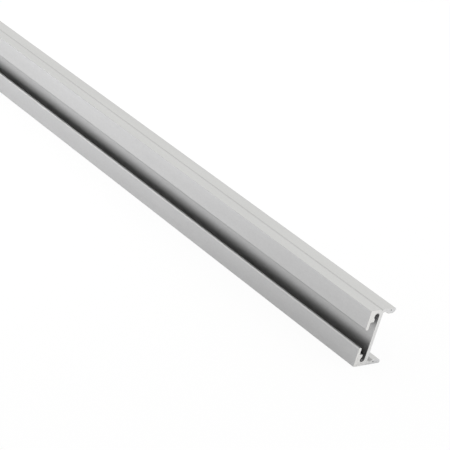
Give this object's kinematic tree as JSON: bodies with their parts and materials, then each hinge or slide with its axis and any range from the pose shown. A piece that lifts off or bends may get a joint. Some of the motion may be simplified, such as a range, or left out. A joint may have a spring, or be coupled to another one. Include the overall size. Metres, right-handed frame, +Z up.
{
  "type": "aluminium extrusion profile",
  "caption": "Straight extruded aluminium bar with a lipped slot along the front, round screw ports in the slot's inner corners, and beaded legs that form an open channel at the back.",
  "frame": {"origin": "centre of the underside's box, at mid-length, on the plane that the lower flange rests on", "axes": "+X along the bar, towards the end that the picture shows; +Y from the slotted front to the open back; +Z up from the lower flange to the upper one"},
  "size_m": [1, 0.0116, 0.02],
  "materials": {
    "anodised_aluminium": "satin silver anodised"
  },
  "bodies": {
    "root": {"extruded_profile": "anodised_aluminium"}
  },
  "joints": []
}
